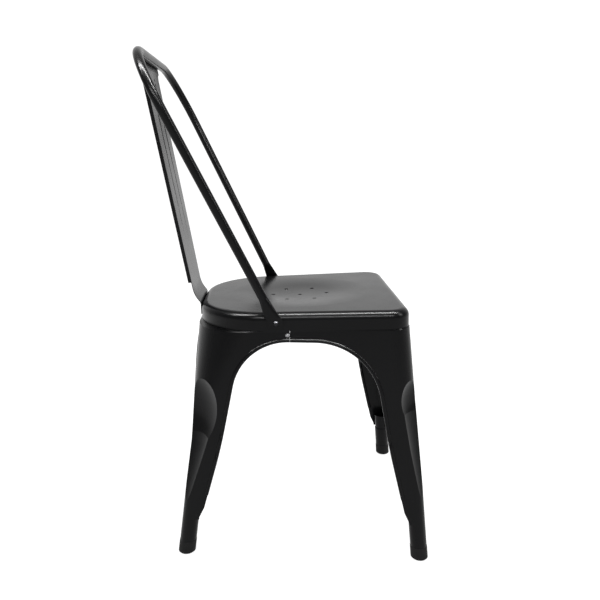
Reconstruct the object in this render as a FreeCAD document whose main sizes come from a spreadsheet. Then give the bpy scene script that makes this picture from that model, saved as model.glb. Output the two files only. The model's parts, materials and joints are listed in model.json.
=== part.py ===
# Metal bistro side chair of pressed steel sheet and bent tube, millimetres.
# Origin on the floor, on the chair's middle plane, midway between its front and its back.
# +X is the sitter's left, +Y is to the back, +Z is up.
import FreeCAD, Part
import math
import os
import Sketcher

doc = FreeCAD.newDocument("BistroChair")
sheet = doc.addObject("Spreadsheet::Sheet", "Sizes")
sheet_rows = []


class Size:
    """A number together with the sheet expression that it comes from."""

    def __init__(self, value, text):
        self.value = value
        self.text = text

    def __add__(self, other):
        return Size(self.value + number(other), "(%s + %s)" % (self.text, words(other)))

    def __radd__(self, other):
        return Size(number(other) + self.value, "(%s + %s)" % (words(other), self.text))

    def __sub__(self, other):
        return Size(self.value - number(other), "(%s - %s)" % (self.text, words(other)))

    def __rsub__(self, other):
        return Size(number(other) - self.value, "(%s - %s)" % (words(other), self.text))

    def __mul__(self, other):
        return Size(self.value * number(other), "(%s * %s)" % (self.text, words(other)))

    def __rmul__(self, other):
        return Size(number(other) * self.value, "(%s * %s)" % (words(other), self.text))

    def __truediv__(self, other):
        return Size(self.value / number(other), "(%s / %s)" % (self.text, words(other)))

    def __neg__(self):
        return Size(-self.value, "(0 - %s)" % self.text)


def number(value):
    return value.value if isinstance(value, Size) else float(value)


def words(value):
    return value.text if isinstance(value, Size) else repr(float(value))


def root(value):
    return Size(math.sqrt(number(value)), "sqrt(%s)" % words(value))


def sine(degrees):
    return Size(math.sin(math.radians(number(degrees))), "sin(%s)" % words(degrees))


def cosine(degrees):
    return Size(math.cos(math.radians(number(degrees))), "cos(%s)" % words(degrees))


def slope_angle(ratio):
    """The angle in degrees whose tangent is ratio."""
    return Size(math.degrees(math.atan(number(ratio))), "(atan(%s) / 1 deg)" % words(ratio))


def size(alias, value, note):
    """Put one driving dimension in the sheet and give it back by name."""
    row = len(sheet_rows) + 1
    sheet_rows.append(alias)
    sheet.set("A%d" % row, note)
    sheet.set("B%d" % row, str(value))
    sheet.setAlias("B%d" % row, alias)
    return Size(float(value), "Sizes." + alias)


# Seat pan
seat_height = size("seat_height", 439.4, "top of the seat at its front edge")
seat_tilt = size("seat_tilt", 1.8, "degrees the seat falls towards the back")
seat_front = size("seat_front", 204.5, "front of the seat ahead of the origin")
seat_depth = size("seat_depth", 359.0, "front to back over the skirt")
seat_half_front = size("seat_half_front", 185.6, "half width at the front corner")
seat_half_back = size("seat_half_back", 161.2, "half width at the back corner")
seat_corner_front = size("seat_corner_front", 36.0, "plan radius of the front corners")
seat_corner_back = size("seat_corner_back", 125.0, "plan radius of the back corners")
seat_skirt = size("seat_skirt", 30.0, "depth of the turned-down skirt")
seat_edge = size("seat_edge", 13.0, "radius rolled from the top into the skirt")
seat_sheet = size("seat_sheet", 1.5, "thickness of the seat's steel")
dish_depth = size("dish_depth", 7.0, "hollow pressed in the middle of the seat")
dish_radius = size("dish_radius", 140.0, "plan radius of that hollow")
dish_floor = size("dish_floor", 35.0, "plan radius of the hollow's flat middle")
dish_brow = size("dish_brow", 105.0, "plan radius where the hollow's slope ends")
dish_bend = size("dish_bend", 600.0, "radius of the soft bends round the hollow")
dish_rim = size("dish_rim", 0.05, "hollow's outer bend ends this far above the seat")
drain_centre = size("drain_centre", 178.5, "drain holes' centre behind the front edge")
drain_circle = size("drain_circle", 50.4, "radius of the ring of drain holes")
drain_hole = size("drain_hole", 7.5, "diameter of a drain hole")

# Walls that the outer faces of the legs lie in
floor_front = size("floor_front", 246.0, "front wall ahead of the origin at the floor")
front_lean = size("front_lean", 0.0963, "front wall moves in per unit of height")
floor_back = size("floor_back", 192.3, "back wall behind the origin at the floor")
back_lean_low = size("back_lean_low", 0.125, "back wall moves in, below the knee")
back_lean_high = size("back_lean_high", 0.058, "back wall moves in, above the knee")
side_half = size("side_half", 200.3, "side wall from the middle at the origin")
side_taper = size("side_taper", 0.0741, "side wall moves in per unit to the back")
side_splay = size("side_splay", 0.076, "side wall moves in per unit of height")

# Pressed legs
leg_sheet = size("leg_sheet", 1.2, "thickness of the legs' steel")
leg_end = size("leg_end", 66.0, "height of the lower edge of the leg sheet")
leg_bend = size("leg_bend", 130.0, "height where the corner starts to open")
flute_drop = size("flute_drop", 139.4, "widest part of the legs' corners below the seat's top")
corner_foot = size("corner_foot", 14.5, "corner radius at the foot")
corner_front_knee = size("corner_front_knee", 21.0, "front corner radius at the knee")
corner_back_knee = size("corner_back_knee", 31.0, "back corner radius at the knee")
corner_front_mid = size("corner_front_mid", 30.0, "front corner radius at the flute's top")
corner_back_mid = size("corner_back_mid", 54.0, "back corner radius at the flute's top")
corner_front_top = size("corner_front_top", 35.0, "front corner radius under the seat")
corner_back_top = size("corner_back_top", 95.0, "back corner radius under the seat")
shoulder_drop = size("shoulder_drop", 2.5, "height of the step that goes in under the skirt")
shoulder_gap = size("shoulder_gap", 0.3, "gap between the step and the skirt's edge")
tongue_top = size("tongue_top", 22.3, "top of the tongue below the seat's top")
seam = size("seam", -3.5, "seam between front and back leg on the side")
seam_gap = size("seam_gap", 0.4, "gap in the seams between the legs")

# Arches between the legs: widths of a leg's face, measured from its outer corner
arch_side_drop = size("arch_side_drop", 56.0, "top of the side arches below the seat's top")
arch_front_drop = size("arch_front_drop", 52.4, "top of the front arch below the seat's top")
arch_back_drop = size("arch_back_drop", 63.4, "top of the back arch below the seat's top")
face_arch_front = size("face_arch_front", 70.4, "front leg's face at the arch's top line")
face_arch_back = size("face_arch_back", 79.7, "back leg's face at the arch's top line")
face_knee = size("face_knee", 53.8, "leg's face at the knee")
face_ankle = size("face_ankle", 37.0, "leg's face above the step at the ankle")
face_end = size("face_end", 30.4, "leg's face at its lower end")
knee_level = size("knee_level", 200.0, "height of the knee")
ankle_level = size("ankle_level", 88.0, "top of the step at the ankle")
step_level = size("step_level", 70.5, "bottom of the step at the ankle")
arch_corner_front = size("arch_corner_front", 114.0, "arch radius at a front leg")
arch_corner_back = size("arch_corner_back", 96.0, "arch radius at a back leg, side arch")
arch_corner_rear = size("arch_corner_rear", 62.0, "arch radius at a back leg, back arch")
knee_bow = size("knee_bow", 1000.0, "radius of the gentle bow at the knee")
roll_radius = size("roll_radius", 3.4, "radius of the rolled edge round the arches")
roll_sink = size("roll_sink", 1.2, "rolled edge's centre inside the wall's face")
roll_cover = size("roll_cover", 0.7, "rolled edge stands this far past the sheet's cut edge")
roll_end = size("roll_end", 112.0, "height where the rolled edge runs out")

# Corner flutes
flute_foot = size("flute_foot", 97.0, "height where the flute has run out")
flute_foot_radius = size("flute_foot_radius", 30.0, "flute radius there")
flute_foot_out = size("flute_foot_out", 25.0, "flute centre outside the corner there")
flute_front_low = size("flute_front_low", 46.5, "front leg's flute radius at the knee")
flute_front_low_out = size("flute_front_low_out", 30.2, "that flute's centre outside the corner")
flute_front_radius = size("flute_front_radius", 71.6, "front leg's flute radius at its top")
flute_front_out = size("flute_front_out", 48.1, "that flute's centre outside the corner")
flute_front_drop = size("flute_front_drop", 149.0, "front flute's round end below the seat's top")
flute_back_low = size("flute_back_low", 62.3, "back leg's flute radius at the knee")
flute_back_low_out = size("flute_back_low_out", 40.2, "that flute's centre outside the corner")
flute_back_radius = size("flute_back_radius", 112.3, "back leg's flute radius at its top")
flute_back_out = size("flute_back_out", 78.6, "that flute's centre outside the corner")
flute_back_drop = size("flute_back_drop", 169.0, "back flute's round end below the seat's top")

# Foot tubes and rubber feet
foot_wall = size("foot_wall", 1.5, "wall of a foot tube")
foot_neck_top = size("foot_neck_top", 98.0, "top of the tube inside the leg")
cap_height = size("cap_height", 22.0, "height of a rubber foot")
cap_radius = size("cap_radius", 15.0, "radius of a rubber foot")
cap_edge = size("cap_edge", 2.0, "bevel round the bottom of a rubber foot")
plug_height = size("plug_height", 14.0, "part of a rubber foot inside its tube")

# Back hoop
hoop_tube = size("hoop_tube", 15.0, "diameter of the hoop's tube")
hoop_wall = size("hoop_wall", 1.5, "wall of the hoop's tube")
hoop_height = size("hoop_height", 852.0, "top of the hoop above the floor")
hoop_lean = size("hoop_lean", 26.57, "degrees the hoop leans back")
hoop_ahead = size("hoop_ahead", 134.5, "hoop's screw ahead of the seat's back edge")
hoop_drop = size("hoop_drop", 17.4, "screws' height below the seat's top")
hoop_rise = size("hoop_rise", 46.0, "round tube starts this far up from the screw")
hoop_tuck = size("hoop_tuck", 4.3, "tube's centre inside the skirt's face at its foot")
hoop_half_top = size("hoop_half_top", 215.4, "half width where bars and top would meet")
hoop_corner = size("hoop_corner", 99.0, "bend radius of the top corners")
hoop_vent = size("hoop_vent", 1.5, "radius of the vent hole at the foot of a bar")
tab_width = size("tab_width", 26.0, "flattened end of the hoop's tube")
tab_thickness = size("tab_thickness", 3.0, "thickness of the flattened end")
tab_start = size("tab_start", 6.0, "flattened end's top below the seat's top")
tab_step = size("tab_step", 13.0, "flattened end's corners below the seat's top")
tab_end = size("tab_end", 21.0, "flattened end's bottom below the seat's top")
tab_shift = size("tab_shift", 6.1, "flattened end's top lies this far behind its screw")

# Back splat
splat_sheet = size("splat_sheet", 1.2, "thickness of the splat's steel")
splat_half_low = size("splat_half_low", 57.0, "half width at the seat")
splat_half_high = size("splat_half_high", 67.5, "half width below the wings")
splat_half_wing = size("splat_half_wing", 84.0, "half width of the wings under the hoop")
splat_wing_drop = size("splat_wing_drop", 16.0, "wings' lower edge below the hoop's centre")
splat_wing_corner = size("splat_wing_corner", 15.5, "radius into the wings")
splat_top_back = size("splat_top_back", 6.4, "splat's face behind the hoop's centre")
splat_top_drop = size("splat_top_drop", 2.0, "splat's end below the hoop's centre")
splat_flange = size("splat_flange", 6.5, "depth of the folded edges")
splat_lap = size("splat_lap", 25.0, "splat's lower end below the seat's top")
splat_turn = size("splat_turn", 4.0, "splat leaves the skirt this far below the top")
splat_kick = size("splat_kick", 11.6, "bend's distance behind the skirt")
splat_kick_rise = size("splat_kick_rise", 10.2, "bend's height above the seat")
splat_bend = size("splat_bend", 50.0, "radius of that bend")
splat_foot_bend = size("splat_foot_bend", 10.0, "radius of the bend at the skirt")
rib_spread = size("rib_spread", 20.0, "pressed grooves from the splat's middle")
rib_radius = size("rib_radius", 6.4, "radius of a groove at its top")
rib_out = size("rib_out", 4.2, "groove's centre line in front of the face")
rib_start = size("rib_start", 92.0, "groove's lower end above the splat's bend")
rib_stop = size("rib_stop", 16.0, "groove's upper end below the wings' lower edge")

# Crossed braces under the seat
brace_width = size("brace_width", 22.0, "width of a brace bar")
brace_sheet = size("brace_sheet", 2.5, "thickness of a brace bar")
brace_drop = size("brace_drop", 67.4, "underside of the lower brace below the seat's top")
brace_aim = size("brace_aim", 12.0, "braces aim this far inside the side walls")

# Fasteners
screw_radius = size("screw_radius", 2.5, "radius of a screw's shank")
screw_head = size("screw_head", 4.6, "radius of a button head")
screw_crown = size("screw_crown", 2.8, "radius of a button head's flat top")
screw_head_height = size("screw_head_height", 2.4, "height of a button head")
screw_socket = size("screw_socket", 1.7, "radius over the corners of the hexagon socket")
screw_length = size("screw_length", 12.0, "length of a screw's shank")
screw_clearance = size("screw_clearance", 0.2, "screw hole's radius less the shank's")
nut_radius = size("nut_radius", 4.4, "radius over the corners of a nut")
nut_height = size("nut_height", 4.0, "height of a nut")
rivet_radius = size("rivet_radius", 2.0, "radius of a rivet's shank")
rivet_head = size("rivet_head", 3.6, "radius of a rivet's head")
rivet_crown = size("rivet_crown", 1.8, "radius of a rivet head's flat top")
rivet_head_height = size("rivet_head_height", 1.4, "height of a rivet's head")
splat_screws = size("splat_screws", 32.0, "splat's screws from the middle")
lap_width = size("lap_width", 18.0, "lap plate past a seam, on each side")
lap_rise = size("lap_rise", 1.0, "lap plate's lower edge above the rolled edge")
lap_height = size("lap_height", 7.0, "height of a lap plate")
lap_gap = size("lap_gap", 0.05, "lap plate's clearance behind the next leg's wall")
rivet_set = size("rivet_set", 4.0, "rivet's distance from its seam")


# Expressions for places
def turn(axis, degrees):
    vectors = {"X": "1; 0; 0", "Y": "0; 1; 0", "Z": "0; 0; 1"}
    return "rotation(vector(%s); %s)" % (vectors[axis], words(degrees))


def place(x=0, y=0, z=0, *turns):
    spin = " * ".join(turns) if turns else turn("Z", 0)
    return "placement(vector(%s; %s; %s); %s)" % (words(x), words(y), words(z), spin)


def bind(item, **sizes):
    for prop, value in sizes.items():
        item.setExpression(prop, words(value))


def add(kind, name, where=None, **sizes):
    item = doc.addObject(kind, name)
    bind(item, **sizes)
    if where:
        item.setExpression("Placement", where)
    return item


# Sketches
def pin(sketch, shape, end, x, y):
    """Fix one end of a sketch's line at x, y, by the sheet where they are sizes."""
    for kind, axis, value in (("DistanceX", -2, x), ("DistanceY", -1, y)):
        if not isinstance(value, Size) and value == 0:
            sketch.addConstraint(Sketcher.Constraint("PointOnObject", shape, end, axis))
            continue
        rule = Sketcher.Constraint(kind, -1, 1, shape, end, number(value))
        index = sketch.addConstraint(rule)
        if isinstance(value, Size):
            sketch.setExpression("Constraints[%d]" % index, value.text)


def outline(sketch, corners, closed=True):
    """Draw straight runs through corners (x, y) or (x, y, radius), each radius a tangent arc."""
    points = [FreeCAD.Vector(number(c[0]), number(c[1]), 0) for c in corners]
    count = len(corners)
    before = list(points)
    after = list(points)
    arcs = {}
    for i, corner in enumerate(corners):
        if len(corner) < 3:
            continue
        back = (points[i - 1] - points[i]).normalize()
        ahead = (points[(i + 1) % count] - points[i]).normalize()
        half = back.getAngle(ahead) / 2
        bend = number(corner[2])
        before[i] = points[i] + back * (bend / math.tan(half))
        after[i] = points[i] + ahead * (bend / math.tan(half))
        inward = (back + ahead).normalize()
        middle = points[i] + inward * (bend / math.sin(half) - bend)
        left_turn = back.cross(ahead).z < 0
        ends = (before[i], after[i]) if left_turn else (after[i], before[i])
        arcs[i] = (Part.Arc(ends[0], middle, ends[1]), left_turn)
    runs = []
    for i in range(count if closed else count - 1):
        line = Part.LineSegment(after[i], before[(i + 1) % count])
        runs.append(sketch.addGeometry(line))
    for i, corner in enumerate(corners):
        x, y = corner[0], corner[1]
        if not closed and i == 0:
            pin(sketch, runs[0], 1, x, y)
            continue
        if not closed and i == count - 1:
            pin(sketch, runs[-1], 2, x, y)
            continue
        last, following = runs[i - 1], runs[i]
        if i not in arcs:
            sketch.addConstraint(Sketcher.Constraint("Coincident", last, 2, following, 1))
            pin(sketch, following, 1, x, y)
            continue
        curve, left_turn = arcs[i]
        arc = sketch.addGeometry(curve)
        first, second = (1, 2) if left_turn else (2, 1)
        sketch.addConstraint(Sketcher.Constraint("Tangent", last, 2, arc, first))
        sketch.addConstraint(Sketcher.Constraint("Tangent", arc, second, following, 1))
        index = sketch.addConstraint(Sketcher.Constraint("Radius", arc, number(corner[2])))
        if isinstance(corner[2], Size):
            sketch.setExpression("Constraints[%d]" % index, corner[2].text)
        tip = sketch.addGeometry(Part.Point(points[i]), True)
        pin(sketch, tip, 1, x, y)
        sketch.addConstraint(Sketcher.Constraint("PointOnObject", tip, 1, last))
        sketch.addConstraint(Sketcher.Constraint("PointOnObject", tip, 1, following))
    return sketch


def drawn(name, where, corners, closed=True):
    """A sketch of its own, placed in the document."""
    return outline(add("Sketcher::SketchObject", name, where), corners, closed)


def round_section(sketch, x, y, radius):
    circle = Part.Circle(FreeCAD.Vector(number(x), number(y), 0), FreeCAD.Vector(0, 0, 1), number(radius))
    shape = sketch.addGeometry(circle)
    pin(sketch, shape, 3, x, y)
    index = sketch.addConstraint(Sketcher.Constraint("Radius", shape, number(radius)))
    sketch.setExpression("Constraints[%d]" % index, words(radius))
    return sketch


# Solids made from sketches and from each other
def loft(name, sections):
    item = add("Part::Loft", name)
    item.Sections = sections
    item.Solid = True
    item.Ruled = True
    return item


def thrust(name, sketch, ahead, behind=0):
    item = add("Part::Extrusion", name, None, LengthFwd=ahead, LengthRev=behind)
    item.Base = sketch
    item.DirMode = "Normal"
    item.Solid = True
    return item


def cut(name, base, tool):
    item = add("Part::Cut", name)
    item.Base = base
    item.Tool = tool
    return item


def common(name, first, second):
    item = add("Part::Common", name)
    item.Base = first
    item.Tool = second
    return item


def fuse(name, shapes):
    item = add("Part::MultiFuse", name)
    item.Shapes = shapes
    return item


def mirrored(name, source):
    """The same piece on the other side of the chair's middle plane."""
    item = add("Part::Mirroring", name)
    item.Source = source
    item.Base = FreeCAD.Vector(0, 0, 0)
    item.Normal = FreeCAD.Vector(1, 0, 0)
    return item


def gather(name, pieces):
    item = add("Part::Compound", name)
    item.Links = pieces
    return item


def sweep(name, path, section):
    doc.recompute()
    item = add("Part::Sweep", name)
    item.Sections = [section]
    item.Spine = (path, ["Edge%d" % (i + 1) for i in range(len(path.Shape.Edges))])
    item.Solid = True
    return item


nodes = {}


def node(name, item):
    """Give a finished piece its name."""
    item.Label = name
    nodes[name] = item
    return item


# Frames that the pieces are set in, and the walls in numbers
BEYOND = 500.0
MORE = 10.0


def front_wall(level):
    return floor_front - front_lean * level


def back_wall_low(level):
    return floor_back - back_lean_low * level


def back_wall(level):
    return back_wall_low(knee_level) - back_lean_high * (level - knee_level)


def side_wall(y, level):
    return side_half - side_taper * y - side_splay * level


def seat_y(run, depth=0):
    """World Y of the point this far behind the seat's front edge and below its top."""
    return run * cosine(seat_tilt) - depth * sine(seat_tilt) - seat_front


def seat_z(run, depth=0):
    return seat_height - run * sine(seat_tilt) - depth * cosine(seat_tilt)


def seat_side(run):
    """Half width over the skirt, this far behind the seat's front edge."""
    return seat_half_front - seat_taper * run


seat_taper = (seat_half_front - seat_half_back) / seat_depth
flute_level = seat_height - flute_drop
arch_side = seat_height - arch_side_drop
arch_front = seat_height - arch_front_drop
arch_back = seat_height - arch_back_drop
brace_level = seat_height - brace_drop
hoop_run = seat_depth - hoop_ahead
taper_angle = slope_angle(side_taper)
splay_angle = slope_angle(side_splay * cosine(taper_angle))
front_angle = slope_angle(front_lean)
back_angle = slope_angle(back_lean_high)
side_stretch = root(1 + side_taper * side_taper)
seat_stretch = root(1 + seat_taper * seat_taper)
diagonal = root(0.5)

profile_turn = (turn("Z", 90), turn("X", 90))
profile_frame = place(0, 0, 0, *profile_turn)
seat_frame = place(0, -seat_front, seat_height, turn("X", -seat_tilt))
side_frame = place(side_half, 0, 0, turn("Z", taper_angle), turn("Y", 90), turn("Z", 90),
                   turn("X", -splay_angle))
front_frame = place(0, -floor_front, 0, turn("X", 90 - front_angle))
back_frame = place(0, back_wall(0), 0, turn("X", 90 + back_angle))
skirt_side_frame = "%s * %s" % (seat_frame, place(
    seat_side(hoop_run), hoop_run, -hoop_drop,
    turn("Z", slope_angle(seat_taper)), turn("Y", 90), turn("Z", 90)))
screw_y = seat_y(hoop_run, hoop_drop)
screw_z = seat_z(hoop_run, hoop_drop)
hoop_frame = place(0, screw_y, screw_z, turn("X", 90 - hoop_lean))


def within(frame, *where):
    """A place given in another frame."""
    return "%s * %s" % (frame, place(*where))


def circle(name, where, radius):
    return add("Part::Circle", name, where, Radius=radius)


# Seat pan: a shallow pressed pan with a turned-down skirt, dished and drilled to drain
def seat_outline(inset=0, half=False, start=0):
    near = seat_half_front - (seat_stretch + seat_taper) * inset
    far = seat_half_back - (seat_stretch - seat_taper) * inset
    left = [(near, inset, seat_corner_front - inset),
            (far, seat_depth - inset, seat_corner_back - inset)]
    if half:
        return [(start, inset)] + left + [(start, seat_depth - inset)]
    right = [(-far, seat_depth - inset, seat_corner_back - inset),
             (-near, inset, seat_corner_front - inset)]
    return left + right


def make_seat():
    body = doc.addObject("PartDesign::Body", "SeatBody")
    body.setExpression("Placement", seat_frame)
    plan = body.newObject("Sketcher::SketchObject", "SeatPlan")
    outline(plan, seat_outline())
    block = body.newObject("PartDesign::Pad", "SeatBlock")
    block.Profile = plan
    block.Reversed = True
    bind(block, Length=seat_skirt)
    doc.recompute()
    rim = ["Edge%d" % (i + 1) for i, edge in enumerate(block.Shape.Edges)
           if abs(edge.BoundBox.ZMin) < 1e-6]
    rolled = body.newObject("PartDesign::Fillet", "SeatEdge")
    rolled.Base = (block, rim)
    bind(rolled, Radius=seat_edge)
    profile = body.newObject("Sketcher::SketchObject", "SeatDishProfile")
    profile.setExpression("Placement", place(0, drain_centre, 0, turn("X", 90)))
    outline(profile, [
        (0, -dish_depth),
        (dish_floor, -dish_depth, dish_bend),
        (dish_brow, dish_rim, dish_bend),
        (dish_radius, dish_rim),
        (dish_radius, dish_depth),
        (0, dish_depth)])
    dish = body.newObject("PartDesign::Groove", "SeatDish")
    dish.Profile = profile
    dish.ReferenceAxis = (profile, ["V_Axis"])
    dish.Angle = 360
    doc.recompute()
    under = ["Face%d" % (i + 1) for i, face in enumerate(dish.Shape.Faces)
             if abs(face.BoundBox.ZMax - dish.Shape.BoundBox.ZMin) < 1e-6]
    shell = body.newObject("PartDesign::Thickness", "SeatShell")
    shell.Base = (dish, under)
    shell.Reversed = True
    bind(shell, Value=seat_sheet)
    centre = body.newObject("Sketcher::SketchObject", "DrainCentrePlan")
    round_section(centre, 0, drain_centre, drain_hole / 2)
    middle_hole = body.newObject("PartDesign::Pocket", "DrainCentreHole")
    middle_hole.Profile = centre
    middle_hole.Type = "ThroughAll"
    middle_hole.Midplane = True
    ring = body.newObject("Sketcher::SketchObject", "DrainRingPlan")
    ring.setExpression("Placement", place(0, drain_centre, 0))
    round_section(ring, 0, drain_circle, drain_hole / 2)
    ring_hole = body.newObject("PartDesign::Pocket", "DrainRingHole")
    ring_hole.Profile = ring
    ring_hole.Type = "ThroughAll"
    ring_hole.Midplane = True
    doc.recompute()
    holes = body.newObject("PartDesign::PolarPattern", "DrainRing")
    holes.Originals = [ring_hole]
    holes.Axis = (ring, ["N_Axis"])
    holes.Angle = 360
    holes.Occurrences = 6
    body.Tip = holes
    return body


# The leg tower: one half of the four-cornered form that all four legs are cut from
def corner_front(level, radius, inset=0):
    y = -(front_wall(level) - inset)
    return (side_wall(y, level) - inset * side_stretch, y, radius - inset)


def corner_back(level, wall, radius, inset=0):
    y = wall - inset
    return (side_wall(y, level) - inset * side_stretch, y, radius - inset)


def tower_level(name, level, wall, front_radius, back_radius, inset, start):
    front = corner_front(level, front_radius, inset)
    back = corner_back(level, wall, back_radius, inset)
    return drawn(name, place(0, 0, level), [(start, front[1]), front, back, (start, back[1])])


def shoulder_corner(run, depth, radius, inset):
    """A corner of the tower on a plane parallel to the seat's top."""
    x = side_wall(seat_y(run, depth), seat_z(run, depth)) - inset * side_stretch
    return (x, run, radius - inset)


def tower_shoulder(name, depth, inset, start):
    """The tower's outline just under the seat, on a plane parallel to the seat's top."""
    rise = cosine(seat_tilt)
    fall = sine(seat_tilt)
    front_run = (seat_front - front_wall(seat_height) + depth * (fall - front_lean * rise)) / (
        rise + front_lean * fall) + inset
    back_run = (seat_front + back_wall(seat_height) + depth * (fall + back_lean_high * rise)) / (
        rise - back_lean_high * fall) - inset
    front = shoulder_corner(front_run, depth, corner_front_top, inset)
    back = shoulder_corner(back_run, depth, corner_back_top, inset)
    return drawn(name, within(seat_frame, 0, 0, -depth),
                 [(start, front_run), front, back, (start, back_run)])


def tower(name, inset, drop, start, foot, top):
    """Half the tower as a solid, its faces this far inside the legs' outer faces."""
    step = seat_skirt + shoulder_gap + drop
    tongue = seat_outline(seat_sheet + inset, True, start)
    return loft(name, [
        tower_level(name + "_foot", foot, back_wall_low(foot), corner_foot, corner_foot, inset, start),
        tower_level(name + "_bend", leg_bend, back_wall_low(leg_bend), corner_foot, corner_foot,
                    inset, start),
        tower_level(name + "_knee", knee_level, back_wall_low(knee_level), corner_front_knee,
                    corner_back_knee, inset, start),
        tower_level(name + "_flute", flute_level, back_wall(flute_level), corner_front_mid,
                    corner_back_mid, inset, start),
        tower_shoulder(name + "_shoulder", step + shoulder_drop, inset, start),
        drawn(name + "_step", within(seat_frame, 0, 0, -step), tongue),
        drawn(name + "_tongue", within(seat_frame, 0, 0, -top), tongue)])


# Flutes pressed along the outer corners of the legs
def flute(name, back, extra):
    """A tapering round tool outside a leg's corner, grown by the sheet for the inner face."""
    side = 1 if back else -1
    top_radius = flute_back_radius if back else flute_front_radius
    rows = [(flute_foot, flute_foot_radius, flute_foot_out)]
    if back:
        rows += [(knee_level, flute_back_low, flute_back_low_out),
                 (seat_height - flute_back_drop, top_radius, flute_back_out)]
    else:
        rows += [(knee_level, flute_front_low, flute_front_low_out),
                 (seat_height - flute_front_drop, top_radius, flute_front_out)]
    rings = []
    for index, (level, radius, out) in enumerate(rows):
        wall = -front_wall(level)
        if back:
            wall = back_wall(level) if index == 2 else back_wall_low(level)
        where = place(side_wall(wall, level) + out * diagonal, wall + side * out * diagonal, level)
        rings.append(circle("%s_ring_%d" % (name, index + 1), where, radius + extra))
    ball = add("Part::Sphere", name + "_ball", where, Radius=top_radius + extra)
    return fuse(name, [loft(name + "_run", rings), ball])


# Arches between the legs. Each half arch is drawn in its wall's own plane, from the middle
# of the arch to one leg: the places of the leg's inner edge follow from the leg's widths.
def on_side(y, level):
    return (y / cosine(taper_angle) + side_splay * sine(taper_angle) * level,
            level / cosine(splay_angle))


def side_front_edge(face, level):
    return on_side(-(front_wall(level) - face), level)


def side_back_edge(face, level):
    wall = back_wall_low(level) if level.value < knee_level.value else back_wall(level)
    return on_side(wall - face, level)


def front_edge(face, level):
    return (side_wall(-front_wall(level), level) - face, level / cosine(front_angle))


def back_edge(face, level):
    wall = back_wall_low(level) if level.value < knee_level.value else back_wall(level)
    return (side_wall(wall, level) - face, level / cosine(back_angle))


arches = (
    ("side_front", side_frame, side_front_edge, arch_side, face_arch_front, arch_corner_front,
     splay_angle, on_side(seam, arch_side)[0], 1),
    ("side_back", side_frame, side_back_edge, arch_side, face_arch_back, arch_corner_back,
     splay_angle, on_side(seam, arch_side)[0], -1),
    ("front", front_frame, front_edge, arch_front, face_arch_front, arch_corner_front,
     front_angle, Size(0.0, "0"), -1),
    ("back", back_frame, back_edge, arch_back, face_arch_back, arch_corner_rear,
     back_angle, Size(0.0, "0"), -1))


def half_arch(name, frame, edge, top, face, radius, lean, middle, side):
    """A tool that opens the wall from the middle of an arch to one leg."""
    start = middle + side * MORE
    peak = edge(face, top)
    knee = edge(face_knee, knee_level)
    ankle = edge(face_ankle, ankle_level)
    step = edge(face_end, step_level)
    foot = edge(face_end, step_level - MORE - MORE)
    sketch = drawn("arch_%s_outline" % name, frame, [
        (start, peak[1]),
        (peak[0], peak[1], radius),
        (knee[0], knee[1], knee_bow),
        ankle,
        step,
        foot,
        (start, foot[1])])
    return thrust("arch_" + name, sketch, seat_corner_front * 2, seat_corner_front * 2)


def rolled_edge(name, frame, edge, top, face, radius, lean, middle, side):
    """The rolled rim of a half arch, run out down the leg's edge."""
    start = middle - side * seam_gap / 2
    back = roll_radius - roll_cover
    peak = edge(face - back, top + back)
    knee = edge(face_knee - back, knee_level)
    run = [(start, peak[1]), (peak[0], peak[1], radius + back)]
    sunk = -roll_sink
    if frame is back_frame:
        run += [knee]
        sunk = roll_sink
    else:
        ankle = edge(face_ankle - back, ankle_level)
        share = (roll_end - ankle_level) / (knee_level - ankle_level)
        end = (ankle[0] + (knee[0] - ankle[0]) * share, ankle[1] + (knee[1] - ankle[1]) * share)
        run += [(knee[0], knee[1], knee_bow), end]
    path = drawn("roll_%s_path" % name, within(frame, 0, 0, sunk), run, False)
    section = circle("roll_%s_section" % name, within(frame, start, peak[1], sunk, turn("Y", 90)),
                     roll_radius)
    return sweep("roll_" + name, path, section)


def block(name, x, y, z, length, width, height, frame=None):
    where = within(frame, x, y, z) if frame else place(x, y, z)
    return add("Part::Box", name, where, Length=length, Width=width, Height=height)


def rod(name, frame, x, y, low, radius, height):
    """A round bar along the frame's outward direction, from low upwards."""
    return add("Part::Cylinder", name, within(frame, x, y, low), Radius=radius, Height=height)


def make_legs():
    """The pressed legs: +X halves cut from the tower, and their mirror images."""
    outer = tower("tower_outer", Size(0.0, "0"), Size(0.0, "0"), 0, leg_end, tongue_top)
    inner = tower("tower_inner", leg_sheet, leg_sheet, -MORE, leg_end - MORE, tongue_top - MORE)
    flutes = [flute("flute_front_outer", False, 0), flute("flute_back_outer", True, 0)]
    flutes_in = [flute("flute_front_inner", False, leg_sheet), flute("flute_back_inner", True, leg_sheet)]
    hollow = cut("tower_hollow", inner, fuse("flutes_inner", flutes_in))
    walls = cut("tower_walls", cut("tower_fluted", outer, fuse("flutes_outer", flutes)), hollow)
    opened = cut("tower_opened", walls, fuse("arches", [half_arch(*arch) for arch in arches]))
    rolls = [rolled_edge(*arch) for arch in arches]
    halves = {}
    for end, start, rims in (("front", seam - seam_gap / 2 - BEYOND, [rolls[0], rolls[2]]),
                             ("back", seam + seam_gap / 2, [rolls[1], rolls[3]])):
        room = block("room_" + end, seam_gap / 2, start, 0, BEYOND, BEYOND, BEYOND)
        halves[end] = [common("leg_%s_pressing" % end, opened, room)] + rims
    return inner, halves


def wall_plate(name, frame, x, low, width, outer, inner, inward):
    """A flat block along a wall, between two depths under the wall's outer face."""
    bottom = outer if inward else -inner
    return block(name, x, low, bottom, width, lap_height, inner - outer, frame)


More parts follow.
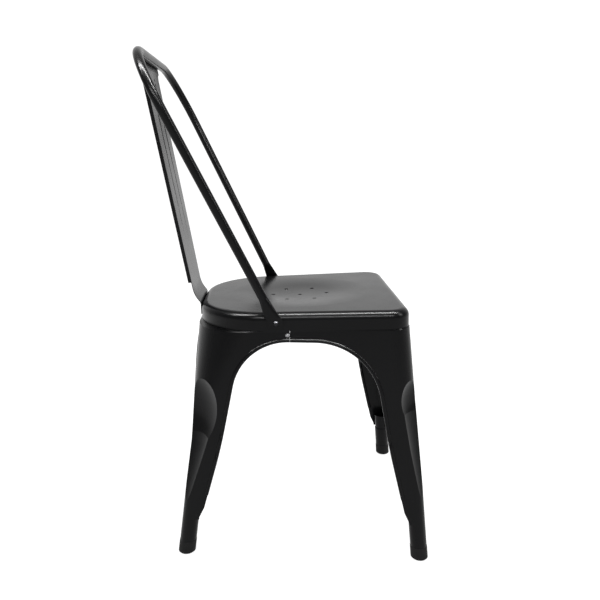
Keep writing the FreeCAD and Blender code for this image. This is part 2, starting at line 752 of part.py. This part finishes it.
def lap_plate(name, frame, middle, edge_level, lean, inward, own_side):
    """A joggled plate inside the wall: welded to its own leg and lying behind the next."""
    low = (edge_level + 2 * roll_radius + lap_rise) / cosine(lean)
    face = leg_sheet * cosine(lean)
    inner = face + lap_gap + leg_sheet
    across = wall_plate(name + "_across", frame, middle - lap_width, low, 2 * lap_width,
                        face + lap_gap, inner, inward)
    start = middle + seam_gap if own_side > 0 else middle - lap_width
    weld = wall_plate(name + "_weld", frame, start, low, lap_width - seam_gap, face / 2, inner, inward)
    return fuse(name, [across, weld])


def rivet_level(edge_level, lean):
    return (edge_level + 2 * roll_radius + lap_rise) / cosine(lean) + lap_height / 2


def rivet(name, frame, x, level, lean, inward):
    """A rivet through a wall and its lap plate, with a head on each side."""
    grip = leg_sheet * cosine(lean) + lap_gap + leg_sheet
    low = 0 if inward else -grip
    shank = rod(name + "_shank", frame, x, level, low, rivet_radius, grip)
    top = add("Part::Cone", name + "_top", within(frame, x, level, low + grip),
              Radius1=rivet_head, Radius2=rivet_crown, Height=rivet_head_height)
    under = add("Part::Cone", name + "_under", within(frame, x, level, low - rivet_head_height),
                Radius1=rivet_crown, Radius2=rivet_head, Height=rivet_head_height)
    return fuse(name, [shank, top, under])


# Foot tubes and rubber feet
def foot_centre(back, level):
    """Centre of a leg's foot tube, by the radius of the leg's corner there."""
    wall = back_wall_low(level) - corner_foot if back else -(front_wall(level) - corner_foot)
    return (side_wall(wall, level) - corner_foot * side_stretch, wall)


def foot_run(name, back, rows):
    """A solid through level circles that follow the leg's slant."""
    rings = []
    for index, (level, radius) in enumerate(rows):
        x, y = foot_centre(back, level)
        rings.append(circle("%s_ring_%d" % (name, index + 1), place(x, y, level), radius))
    return loft(name, rings)


def make_foot_tube(end, back):
    name = "foot_tube_" + end
    neck = corner_foot - leg_sheet
    low = foot_run(name + "_low", back, [(cap_height, corner_foot), (leg_end, corner_foot)])
    high = foot_run(name + "_high", back, [(leg_end, neck), (foot_neck_top, neck)])
    bore = foot_run(name + "_bore", back, [(cap_height - MORE, corner_foot - foot_wall),
                                           (foot_neck_top + MORE, corner_foot - foot_wall - leg_sheet)])
    return cut(name, fuse(name + "_outside", [low, high]), bore)


def make_rubber_foot(end, back):
    name = "foot_cap_" + end
    low = foot_run(name + "_low", back, [(Size(0.0, "0"), cap_radius - cap_edge), (cap_edge, cap_radius),
                                         (cap_height, cap_radius)])
    plug = foot_run(name + "_plug", back, [
        (cap_height - cap_edge, corner_foot - foot_wall - leg_sheet),
        (cap_height + plug_height, corner_foot - foot_wall - leg_sheet)])
    return fuse(name, [low, plug])


# Back hoop
def make_hoop():
    top = (hoop_height - hoop_tube / 2 - screw_z) / cosine(hoop_lean)
    foot = seat_side(hoop_run) - hoop_tuck
    lean = slope_angle((hoop_half_top - foot) / (top - hoop_rise))
    path = drawn("hoop_path", hoop_frame, [
        (foot, hoop_rise),
        (hoop_half_top, top, hoop_corner),
        (-hoop_half_top, top, hoop_corner),
        (-foot, hoop_rise)], False)
    start = within(hoop_frame, foot, hoop_rise, 0, turn("Z", -lean), turn("X", 90), turn("Z", -90))
    ring = circle("hoop_section", start, hoop_tube / 2)
    tube = sweep("hoop_tube_run", path, ring)
    bore = sweep("hoop_bore", path, circle("hoop_bore_section", start, hoop_tube / 2 - hoop_wall))
    middle = tab_thickness / 2
    pinch = add("Part::Ellipse", "hoop_pinch", within(
        skirt_side_frame, tab_shift, hoop_drop - tab_start, middle, turn("X", 90)),
        MajorRadius=tab_width / 2, MinorRadius=middle)
    neck = loft("hoop_neck", [ring, pinch])
    half = tab_width / 2
    blade = thrust("hoop_tab", drawn("hoop_tab_outline", skirt_side_frame, [
        (tab_shift - half, hoop_drop - tab_start),
        (-half, hoop_drop - tab_step),
        (-half, hoop_drop - tab_end),
        (half, hoop_drop - tab_end),
        (half, hoop_drop - tab_step),
        (tab_shift + half, hoop_drop - tab_start)]), tab_thickness)
    hole = rod("hoop_tab_hole", skirt_side_frame, 0, 0, -tab_thickness,
               screw_radius + screw_clearance, tab_thickness * 3)
    foot_left = cut("hoop_foot_left", fuse("hoop_foot_blank", [neck, blade]), hole)
    foot_right = mirrored("hoop_foot_right", foot_left)
    outside = fuse("hoop_outside", [tube, foot_left, foot_right])
    vent = add("Part::Cylinder", "hoop_vent_hole", within(
        hoop_frame, foot - hoop_tube, hoop_rise + hoop_tube, 0, turn("Y", 90)),
        Radius=hoop_vent, Height=hoop_tube)
    return tube, cut("back_hoop", outside, fuse("hoop_inside", [bore, vent]))


# Back splat
def make_splat(hoop):
    """A pressed panel with folded edges, wings at its top and two grooves down its face."""
    foot_y = seat_y(seat_depth, splat_lap)
    foot_z = seat_z(seat_depth, splat_lap)
    turn_y = seat_y(seat_depth, splat_turn)
    turn_z = seat_z(seat_depth, splat_turn)
    bend_y = seat_y(seat_depth) + splat_kick
    bend_z = seat_z(seat_depth) + splat_kick_rise
    hoop_z = hoop_height - hoop_tube / 2
    hoop_y = screw_y + (hoop_z - screw_z) * (sine(hoop_lean) / cosine(hoop_lean))
    top_y = hoop_y + splat_top_back
    top_z = hoop_z - splat_top_drop
    slope = (top_y - bend_y) / (top_z - bend_z)

    def chain(shift):
        return [(foot_y + shift, foot_z),
                (turn_y + shift, turn_z, splat_foot_bend),
                (bend_y + shift, bend_z, splat_bend),
                (top_y + shift, top_z)]

    back_of_flange = [(top_y + splat_flange, top_z),
                      (bend_y + splat_flange, bend_z, splat_bend),
                      (turn_y + splat_flange, turn_z, splat_foot_bend),
                      (foot_y + splat_flange, foot_z)]
    reach = splat_half_wing + MORE
    solid = thrust("splat_solid", drawn("splat_profile", profile_frame, chain(0) + back_of_flange),
                   reach, reach)
    under_y = seat_y(seat_depth, splat_lap + MORE) + splat_sheet
    under_z = seat_z(seat_depth, splat_lap + MORE)
    over_y = top_y + splat_sheet + slope * MORE
    behind = thrust("splat_behind", drawn("splat_behind_profile", profile_frame, [
        (under_y, under_z)] + chain(splat_sheet)[1:3] + [
        (over_y, top_z + MORE),
        (over_y + splat_flange + MORE, top_z + MORE),
        (over_y + splat_flange + MORE, under_z)]), reach, reach)

    def face(name, inset, low):
        wing_z = hoop_z - splat_wing_drop + inset
        right = [(splat_half_low - inset, bend_z + splat_bend / 2),
                 (splat_half_high - inset, wing_z, splat_wing_corner),
                 (splat_half_wing - inset, wing_z),
                 (splat_half_wing - inset, hoop_z + MORE)]
        left = [(-right[3][0], right[3][1]), (-right[2][0], right[2][1]),
                (-right[1][0], right[1][1], splat_wing_corner), (-right[0][0], right[0][1])]
        foot = [(-low, bend_z), (-low, foot_z - MORE), (low, foot_z - MORE), (low, bend_z)]
        sketch = drawn(name + "_outline", place(0, 0, 0, turn("X", 90)), right + left + foot)
        return thrust(name, sketch, 0, BEYOND)

    blank = common("splat_blank", solid, face("splat_face", 0, splat_half_low))
    room = common("splat_room", behind, face("splat_inside", splat_sheet, splat_half_low + MORE))
    ribs = {}
    tilt = slope_angle(slope)
    length = (hoop_z - splat_wing_drop - rib_stop - bend_z - rib_start) / cosine(tilt)
    for kind, extra in (("groove", 0), ("ridge", splat_sheet)):
        ends = []
        for side in (-1, 1):
            name = "splat_%s_%s" % (kind, "right" if side < 0 else "left")
            frame = place(side * rib_spread, bend_y + slope * rib_start - rib_out / cosine(tilt),
                          bend_z + rib_start, turn("X", -tilt))
            taper = add("Part::Cone", name, frame, Radius1=rib_out + extra, Radius2=rib_radius + extra,
                        Height=length)
            ball = add("Part::Sphere", name + "_end", within(frame, 0, 0, length),
                       Radius=rib_radius + extra)
            ends += [taper, ball]
        ribs[kind] = fuse("splat_%ss" % kind, ends)
    pressed = cut("splat_pressed", blank, cut("splat_hollow", room, ribs["ridge"]))
    holes = [rod("splat_hole_%d" % (i + 1), skirt_back_frame, side * splat_screws, 0, -MORE,
                 screw_radius + screw_clearance, 2 * MORE) for i, side in enumerate((-1, 1))]
    return cut("back_splat", pressed, fuse("splat_tools", [ribs["groove"], hoop] + holes))


skirt_back_frame = within(seat_frame, 0, seat_depth, -hoop_drop, turn("X", -90))


# Fasteners
def screw(name, frame, x, grip):
    """A button-head screw with a hexagon socket, its head this far out from the skirt."""
    shank = rod(name + "_shank", frame, x, 0, grip - screw_length, screw_radius, screw_length)
    head = add("Part::Cone", name + "_head", within(frame, x, 0, grip), Radius1=screw_head,
               Radius2=screw_crown, Height=screw_head_height)
    socket = add("Part::Prism", name + "_socket", within(
        frame, x, 0, grip + screw_head_height / 2), Circumradius=screw_socket, Height=screw_head_height)
    return cut(name, fuse(name + "_blank", [shank, head]), socket)


def nut(name, frame, x, low):
    """A hexagon nut on a screw's shank, from low upwards."""
    blank = add("Part::Prism", name + "_blank", within(frame, x, 0, low), Circumradius=nut_radius,
                Height=nut_height)
    return cut(name, blank, rod(name + "_thread", frame, x, 0, low - MORE, screw_radius, BEYOND))


# Crossed braces
def make_braces(inner):
    """Two flat bars from corner to corner under the seat, trimmed to the legs' inner faces."""
    span = 2 * (side_half + floor_front)
    hollow = fuse("under_seat", [inner, mirrored("inner_right", inner)])
    middle_y = (back_wall(brace_level) - front_wall(brace_level)) / 2
    reach = (back_wall(brace_level) + front_wall(brace_level)) / 2
    angle = slope_angle((side_wall(middle_y, brace_level) - brace_aim) / reach)
    bolt_frame = place(0, middle_y, brace_level)
    bars = []
    for index, side in enumerate((-1, 1)):
        level = brace_level + index * brace_sheet
        frame = place(0, middle_y, level, turn("Z", side * angle))
        bar = block("brace_blank_%d" % (index + 1), -brace_width / 2, -span / 2, 0,
                    brace_width, span, brace_sheet, frame)
        trimmed = common("brace_trimmed_%d" % (index + 1), bar, hollow)
        hole = rod("brace_hole_%d" % (index + 1), bolt_frame, 0, 0, -MORE,
                   screw_radius + screw_clearance, 3 * MORE)
        bars.append(cut("brace_%d" % (index + 1), trimmed, hole))
    return bolt_frame, bars


# The whole chair
inner_tower, halves = make_legs()
hoop_solid, hoop = make_hoop()
splat = make_splat(hoop_solid)
brace_frame, braces = make_braces(inner_tower)

seam_run = on_side(seam, arch_side)[0]
side_rivet = (side_frame, seam_run + rivet_set, rivet_level(arch_side, splay_angle), splay_angle, False)
front_rivet = (front_frame, -rivet_set, rivet_level(arch_front, front_angle), front_angle, False)
back_rivet = (back_frame, -rivet_set, rivet_level(arch_back, back_angle), back_angle, True)


def rivet_holes(name):
    tools = []
    for index, (frame, x, level, lean, inward) in enumerate((side_rivet, front_rivet, back_rivet)):
        tools.append(rod("%s_%d" % (name, index + 1), frame, x, level, -MORE, rivet_radius, 2 * MORE))
    return fuse(name, tools)


drills = rivet_holes("rivet_drills")
side_lap = lap_plate("lap_side", side_frame, seam_run, arch_side, splay_angle, False, -1)
front_lap = lap_plate("lap_front", front_frame, 0, arch_front, front_angle, False, 1)
back_lap = lap_plate("lap_back", back_frame, 0, arch_back, back_angle, True, 1)
halves["front"].append(side_lap)
mirror_drills = mirrored("rivet_drills_mirrored", drills)
right_drills = fuse("rivet_drills_right", [drills, mirror_drills])
for end, lap in (("front", front_lap), ("back", back_lap)):
    with_lap = fuse("leg_%s_lapped" % end, halves[end] + [lap])
    plain = mirrored("leg_%s_mirrored" % end, fuse("leg_" + end, halves[end]))
    node(end + "_leg_left", cut(end + "_leg_left", with_lap, drills))
    node(end + "_leg_right", cut(end + "_leg_right", plain, right_drills))

for end, back in (("front", False), ("back", True)):
    tube = make_foot_tube(end, back)
    cap = make_rubber_foot(end, back)
    node("foot_tube_%s_left" % end, tube)
    node("foot_tube_%s_right" % end, mirrored("foot_tube_%s_mirrored" % end, tube))
    node("rubber_foot_%s_left" % end, cap)
    node("rubber_foot_%s_right" % end, mirrored("rubber_foot_%s_mirrored" % end, cap))

seat_drills = [rod("skirt_hole_back_%d" % (i + 1), skirt_back_frame, side * splat_screws, 0, -MORE,
                   screw_radius + screw_clearance, 2 * MORE) for i, side in enumerate((-1, 1))]
side_drill = rod("skirt_hole_left", skirt_side_frame, 0, 0, -MORE, screw_radius + screw_clearance,
                 2 * MORE)
seat_drills += [side_drill, mirrored("skirt_hole_right", side_drill)]
node("seat_pan", cut("seat_pan", make_seat(), fuse("skirt_holes", seat_drills)))
node("back_hoop", hoop)
node("back_splat", splat)
node("brace_bar_lower", braces[0])
node("brace_bar_upper", braces[1])

hoop_screw = screw("hoop_screw_left", skirt_side_frame, 0, tab_thickness)
hoop_nut = nut("hoop_nut_left", skirt_side_frame, 0, -seat_sheet - nut_height)
node("hoop_screws", gather("hoop_screws", [hoop_screw, mirrored("hoop_screw_right", hoop_screw)]))
node("hoop_nuts", gather("hoop_nuts", [hoop_nut, mirrored("hoop_nut_right", hoop_nut)]))
node("splat_screws", gather("splat_screw_pair", [
    screw("splat_screw_right", skirt_back_frame, -splat_screws, splat_sheet),
    screw("splat_screw_left", skirt_back_frame, splat_screws, splat_sheet)]))
node("splat_nuts", gather("splat_nut_pair", [
    nut("splat_nut_right", skirt_back_frame, -splat_screws, -seat_sheet - nut_height),
    nut("splat_nut_left", skirt_back_frame, splat_screws, -seat_sheet - nut_height)]))
node("brace_screw", screw("brace_screw", within(brace_frame, 0, 0, 0, turn("X", 180)), 0, Size(0.0, "0")))
node("brace_nut", nut("brace_nut", brace_frame, 0, 2 * brace_sheet))
left_rivet = rivet("apron_rivet_left", *side_rivet)
node("apron_rivets", gather("apron_rivets", [
    left_rivet, mirrored("apron_rivet_right", left_rivet),
    rivet("apron_rivet_front", *front_rivet), rivet("apron_rivet_back", *back_rivet)]))

doc.recompute()

# Nothing is written unless every object of the document is sound
faults = []
for item in doc.Objects:
    if "Invalid" in item.State or "Error" in item.State:
        faults.append("%s: %s" % (item.Name, item.getStatusString()))
for name, item in nodes.items():
    if item.Shape.isNull() or not item.Shape.isValid() or not item.Shape.Solids:
        faults.append("%s has no sound shape" % name)
if faults:
    raise SystemExit("\n".join(faults))

os.makedirs("parts", exist_ok=True)
for name, item in nodes.items():
    item.Shape.exportStep(os.path.join("parts", name + ".step"))
    print(name, len(item.Shape.Solids), "solids, volume", round(item.Shape.Volume))
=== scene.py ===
import json
import math

import bpy
from mathutils import Matrix, Vector

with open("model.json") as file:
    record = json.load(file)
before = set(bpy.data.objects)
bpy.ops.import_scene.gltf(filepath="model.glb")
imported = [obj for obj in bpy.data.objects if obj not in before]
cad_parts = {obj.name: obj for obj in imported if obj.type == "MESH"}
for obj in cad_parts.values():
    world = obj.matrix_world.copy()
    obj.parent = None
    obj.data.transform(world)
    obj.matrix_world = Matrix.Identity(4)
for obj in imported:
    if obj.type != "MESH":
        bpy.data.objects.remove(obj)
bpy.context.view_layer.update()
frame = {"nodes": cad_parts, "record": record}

# The photograph's view
CAMERA_PLACE = Vector((-1.2064, 0.01884, 0.69423))
CAMERA_YAW = math.radians(2.15)
CAMERA_PITCH = math.radians(12.99)
CAMERA_ROLL = math.radians(0.39)
FOCAL_PIXELS = 650.0
FRAME_PIXELS = 600.0
SENSOR_MM = 36.0

# Noise: the octaves of its clouds and of its grain, and the part of its range that counts
CLOUD_DETAIL = 3.0
GRAIN_DETAIL = 2.0
NOISE_RANGE = (0.3, 0.7)

# Paint
PAINT_COLOUR = (0.0040, 0.0041, 0.0045)
PAINT_ROUGHNESS = 0.25
PAINT_ROUGHNESS_SPREAD = 0.02
PAINT_SPECULAR = 0.10
PEEL_SIZE = 0.0006
PEEL_DEPTH = 0.000001

# Rubber and fasteners
RUBBER_COLOUR = (0.005, 0.005, 0.005)
RUBBER_SPECULAR = 0.12
PLATED_COLOUR = (0.30, 0.30, 0.31)
BLACKED_COLOUR = (0.030, 0.030, 0.032)
PLATED_NODE = "apron_rivets"

# Studio
WHITE = (1.0, 1.0, 1.0, 1.0)
CHAIR_MIDDLE = (0.0, 0.0, 0.45)
FLOOR_REACH = 30.0
FLOOR_COLOUR = (0.45, 0.45, 0.45, 1.0)
FLOOR_ROUGHNESS = 0.9
FLOOR_GLOW = 0.85
SURROUND_FADE = (0.2, 0.8)
SURROUND_STRENGTH = (0.35, 1.1)


def set_inputs(node, values):
    """Sets inputs of a shader node by their names."""
    for name, value in values.items():
        node.inputs[name].default_value = value


def map_range(tree, value, taken, given):
    """Maps value from one range to another."""
    node = tree.nodes.new("ShaderNodeMapRange")
    set_inputs(node, {"From Min": taken[0], "From Max": taken[1],
                      "To Min": given[0], "To Max": given[1]})
    tree.links.new(value, node.inputs["Value"])
    return node.outputs["Result"]


def shade(colour, factor):
    """The colour made lighter or darker, with its alpha."""
    return tuple(part * factor for part in colour) + (1.0,)


class Finish:
    """Builds one material, with noise in its colour, its roughness and its surface."""

    def __init__(self, name, settings):
        self.material = bpy.data.materials.new(name)
        self.material.use_nodes = True
        self.tree = self.material.node_tree
        self.shader = self.tree.nodes["Principled BSDF"]
        set_inputs(self.shader, settings)
        self.place = self.tree.nodes.new("ShaderNodeTexCoord").outputs["Object"]

    def join(self, output, target):
        self.tree.links.new(output, target)

    def noise(self, size, detail):
        """Noise with features of about this size in metres."""
        node = self.tree.nodes.new("ShaderNodeTexNoise")
        set_inputs(node, {"Scale": 1.0 / size, "Detail": detail})
        self.join(self.place, node.inputs["Vector"])
        return node.outputs["Fac"]

    def colour(self, colour, low, high, size):
        """The colour in clouds of this size, between two shades of it."""
        node = self.tree.nodes.new("ShaderNodeMix")
        node.data_type = "RGBA"
        set_inputs(node, {"A": shade(colour, low), "B": shade(colour, high)})
        self.join(self.noise(size, CLOUD_DETAIL), node.inputs["Factor"])
        self.join(node.outputs["Result"], self.shader.inputs["Base Color"])

    def roughness(self, low, high, size):
        """Smudges of this size, between two roughnesses."""
        clouds = self.noise(size, CLOUD_DETAIL)
        self.join(map_range(self.tree, clouds, NOISE_RANGE, (low, high)),
                  self.shader.inputs["Roughness"])

    def grain(self, size, depth):
        """A fine relief of this size and depth."""
        node = self.tree.nodes.new("ShaderNodeBump")
        set_inputs(node, {"Strength": 1.0, "Distance": depth})
        self.join(self.noise(size, GRAIN_DETAIL), node.inputs["Height"])
        self.join(node.outputs["Normal"], self.shader.inputs["Normal"])


def paint():
    """Satin black powder coat: fine orange peel, slightly uneven gloss."""
    made = Finish("satin_black_paint", {"Specular IOR Level": PAINT_SPECULAR})
    made.colour(PAINT_COLOUR, low=0.8, high=1.3, size=0.09)
    made.roughness(low=PAINT_ROUGHNESS - PAINT_ROUGHNESS_SPREAD,
                   high=PAINT_ROUGHNESS + PAINT_ROUGHNESS_SPREAD, size=0.05)
    made.grain(PEEL_SIZE, PEEL_DEPTH)
    return made.material


def rubber():
    """Dull moulded rubber."""
    made = Finish("black_rubber", {"Specular IOR Level": RUBBER_SPECULAR})
    made.colour(RUBBER_COLOUR, low=0.8, high=1.5, size=0.01)
    made.roughness(low=0.55, high=0.75, size=0.004)
    made.grain(size=0.0006, depth=0.00004)
    return made.material


def steel(name, colour):
    """Steel with fine turning marks."""
    made = Finish(name, {"Metallic": 1.0})
    made.colour(colour, low=0.75, high=1.0, size=0.004)
    made.roughness(low=0.24, high=0.42, size=0.0015)
    made.grain(size=0.0004, depth=0.00001)
    return made.material


def finish_pieces():
    """Gives every piece of the frame its finish: only the plated node departs from its slot's."""
    finishes = {"painted_steel": paint(), "rubber": rubber(),
                "fastener_steel": steel("blacked_steel", BLACKED_COLOUR)}
    plated = steel("plated_steel", PLATED_COLOUR)
    for row in frame["record"]["subparts"]:
        material = plated if row["node"] == PLATED_NODE else finishes[row["material_slot"]]
        for slot in frame["nodes"][row["node"]].material_slots:
            slot.material = material


def make_floor():
    """A floor that glows as well as it is lit, so that it shows pure white."""
    mesh = bpy.data.meshes.new("studio_floor")
    corners = [(-FLOOR_REACH, -FLOOR_REACH, 0), (FLOOR_REACH, -FLOOR_REACH, 0),
               (FLOOR_REACH, FLOOR_REACH, 0), (-FLOOR_REACH, FLOOR_REACH, 0)]
    mesh.from_pydata(corners, [], [(0, 1, 2, 3)])
    material = bpy.data.materials.new("floor_white")
    material.use_nodes = True
    set_inputs(material.node_tree.nodes["Principled BSDF"],
               {"Base Color": FLOOR_COLOUR, "Roughness": FLOOR_ROUGHNESS,
                "Specular IOR Level": 0.0, "Emission Color": WHITE,
                "Emission Strength": FLOOR_GLOW})
    mesh.materials.append(material)
    floor = bpy.data.objects.new("studio_floor", mesh)
    bpy.context.collection.objects.link(floor)


def make_world():
    """A white surround, dimmer on the side that the camera looks from."""
    world = bpy.data.worlds.new("studio")
    bpy.context.scene.world = world
    world.use_nodes = True
    tree = world.node_tree
    background = tree.nodes["Background"]
    background.inputs["Color"].default_value = WHITE
    coordinates = tree.nodes.new("ShaderNodeTexCoord")
    along = tree.nodes.new("ShaderNodeSeparateXYZ")
    tree.links.new(coordinates.outputs["Generated"], along.inputs["Vector"])
    tree.links.new(map_range(tree, along.outputs["X"], SURROUND_FADE, SURROUND_STRENGTH),
                   background.inputs["Strength"])


def make_light(name, place, target, width, height, watts, only_shines=False):
    """A soft panel. One that only shines shows in the gloss and lights nothing else."""
    light = bpy.data.lights.new(name, "AREA")
    light.shape = "RECTANGLE"
    light.size = width
    light.size_y = height
    light.energy = watts
    item = bpy.data.objects.new(name, light)
    item.location = place
    item.rotation_euler = (Vector(target) - Vector(place)).to_track_quat("-Z", "Y").to_euler()
    item.visible_diffuse = not only_shines
    item.visible_glossy = only_shines
    bpy.context.collection.objects.link(item)


def make_lights():
    """A softbox that lights the floor and the chair, and three strips seen in the paint."""
    make_light("softbox_above", place=(0.0, 0.0, 3.0), target=CHAIR_MIDDLE,
               width=3.0, height=3.0, watts=60.0)
    make_light("strip_above", place=(-0.35, 0.4, 2.5), target=(0.0, 0.4, 0.45),
               width=3.6, height=0.22, watts=380.0, only_shines=True)
    make_light("strip_side", place=(-2.3, 0.0, 2.1), target=CHAIR_MIDDLE,
               width=2.6, height=0.25, watts=90.0, only_shines=True)
    make_light("strip_front", place=(-0.8, -2.4, 1.9), target=CHAIR_MIDDLE,
               width=0.3, height=1.4, watts=30.0, only_shines=True)


def make_camera():
    """The photograph's camera: it looks along +X, turned, tipped down and rolled."""
    ahead = Vector((math.cos(CAMERA_PITCH) * math.cos(CAMERA_YAW),
                    -math.cos(CAMERA_PITCH) * math.sin(CAMERA_YAW), -math.sin(CAMERA_PITCH)))
    level = ahead.cross(Vector((0, 0, 1))).normalized()
    upright = level.cross(ahead)
    right = math.cos(CAMERA_ROLL) * level + math.sin(CAMERA_ROLL) * upright
    above = -math.sin(CAMERA_ROLL) * level + math.cos(CAMERA_ROLL) * upright
    camera = bpy.data.cameras.new("camera")
    camera.sensor_width = SENSOR_MM
    camera.lens = SENSOR_MM * FOCAL_PIXELS / FRAME_PIXELS
    item = bpy.data.objects.new("camera", camera)
    turned = Matrix((right, above, -ahead)).transposed().to_4x4()
    item.matrix_world = Matrix.Translation(CAMERA_PLACE) @ turned
    bpy.context.collection.objects.link(item)
    bpy.context.scene.camera = item


finish_pieces()
make_floor()
make_world()
make_lights()
make_camera()
bpy.context.scene.view_settings.view_transform = "Standard"
